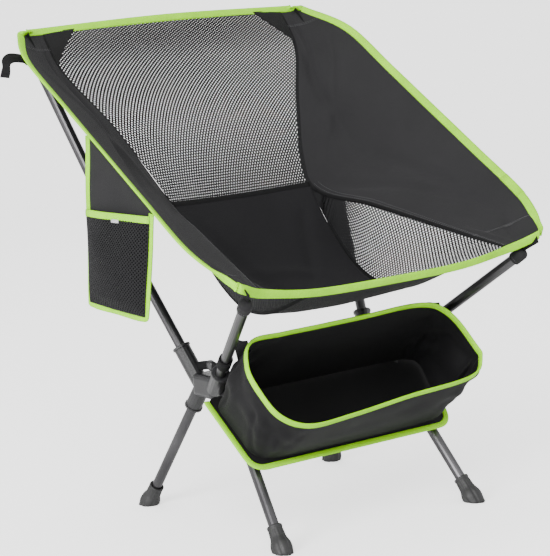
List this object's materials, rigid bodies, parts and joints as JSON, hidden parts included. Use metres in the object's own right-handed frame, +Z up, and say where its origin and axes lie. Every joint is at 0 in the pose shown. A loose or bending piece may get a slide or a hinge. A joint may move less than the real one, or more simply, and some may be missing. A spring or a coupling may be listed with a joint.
{
  "type": "packable camp chair",
  "caption": "Packable low camp chair: a mesh-backed fabric sling seat on corded tube poles, hubs with splayed legs, a storage pouch under the seat and a side phone pocket.",
  "frame": {"origin": "on the ground, at the middle of the outline seen from above", "axes": "+Z up; the sitter faces -Y; +X is on the sitter's left"},
  "size_m": [0.5572, 0.5089, 0.6439],
  "materials": {
    "anodised_aluminium": "satin dark grey anodised",
    "bare_aluminium": "plain drawn tube",
    "moulded_nylon": "fine moulded texture",
    "foot_rubber": "matt rubber",
    "polyester_oxford": "plain charcoal woven cloth",
    "polyester_mesh": "open knitted mesh",
    "lime_binding": "folded lime green tape",
    "webbing": "narrow woven webbing",
    "elastic_cord": "braided cover"
  },
  "bodies": {
    "root": {"crossbar": "anodised_aluminium", "back_pole_lower_left": "anodised_aluminium", "back_pole_lower_right": "anodised_aluminium", "back_pole_upper_left": "anodised_aluminium", "back_pole_upper_right": "anodised_aluminium", "front_pole_left": "anodised_aluminium", "front_pole_right": "anodised_aluminium", "ferrule_left": "bare_aluminium", "ferrule_right": "bare_aluminium", "hub_left": "moulded_nylon", "hub_right": "moulded_nylon", "pole_cap_back_left": "moulded_nylon", "pole_cap_back_right": "moulded_nylon", "pole_cap_front_left": "moulded_nylon", "pole_cap_front_right": "moulded_nylon", "seat_panel": "polyester_oxford", "side_panel_left": "polyester_oxford", "side_panel_right": "polyester_oxford", "tip_pocket_back_left": "polyester_oxford", "tip_pocket_back_right": "polyester_oxford", "tip_pocket_front_left": "polyester_oxford", "tip_pocket_front_right": "polyester_oxford", "storage_bag": "polyester_oxford", "back_mesh": "polyester_mesh", "side_mesh_left": "polyester_mesh", "side_mesh_right": "polyester_mesh", "rim_binding": "lime_binding", "bag_rim_binding": "lime_binding", "bag_base_binding": "lime_binding", "pull_tab_left": "webbing", "pull_tab_right": "webbing", "bag_strap_left": "webbing", "bag_strap_right": "webbing", "shock_cord_back_lower_left": "elastic_cord", "shock_cord_back_lower_right": "elastic_cord", "shock_cord_back_upper_left": "elastic_cord", "shock_cord_back_upper_right": "elastic_cord", "shock_cord_front_left": "elastic_cord", "shock_cord_front_right": "elastic_cord"},
    "leg_body_front_left": {"leg_front_left": "anodised_aluminium", "foot_front_left": "foot_rubber", "shock_cord_leg_front_left": "elastic_cord"},
    "leg_body_front_right": {"leg_front_right": "anodised_aluminium", "foot_front_right": "foot_rubber", "shock_cord_leg_front_right": "elastic_cord"},
    "leg_body_rear_left": {"leg_rear_left": "anodised_aluminium", "foot_rear_left": "foot_rubber", "shock_cord_leg_rear_left": "elastic_cord"},
    "leg_body_rear_right": {"leg_rear_right": "anodised_aluminium", "foot_rear_right": "foot_rubber", "shock_cord_leg_rear_right": "elastic_cord"},
    "phone_pocket": {"phone_pocket_panel": "polyester_oxford", "phone_pocket_mesh": "polyester_mesh", "phone_pocket_binding": "lime_binding"}
  },
  "joints": [
    {"name": "leg_front_left_slide", "type": "slide", "parent": "root", "child": "leg_body_front_left", "axis": [-0.1045, -0.6123, -0.7837], "range_m": [0, 0.03], "stiffness_N_per_m": 60, "springref_m": -0.08},
    {"name": "leg_front_right_slide", "type": "slide", "parent": "root", "child": "leg_body_front_right", "axis": [0.1045, -0.6123, -0.7837], "range_m": [0, 0.03], "stiffness_N_per_m": 60, "springref_m": -0.08},
    {"name": "leg_rear_left_slide", "type": "slide", "parent": "root", "child": "leg_body_rear_left", "axis": [-0.0914, 0.5807, -0.8089], "range_m": [0, 0.03], "stiffness_N_per_m": 60, "springref_m": -0.08},
    {"name": "leg_rear_right_slide", "type": "slide", "parent": "root", "child": "leg_body_rear_right", "axis": [0.0914, 0.5807, -0.8089], "range_m": [0, 0.03], "stiffness_N_per_m": 60, "springref_m": -0.08},
    {"name": "phone_pocket_swing", "type": "hinge", "parent": "root", "child": "phone_pocket", "pos_m": [-0.25184, 0.026, 0.51649], "axis": [0.0013, 0.8555, 0.5179], "range_deg": [0, 60]}
  ]
}
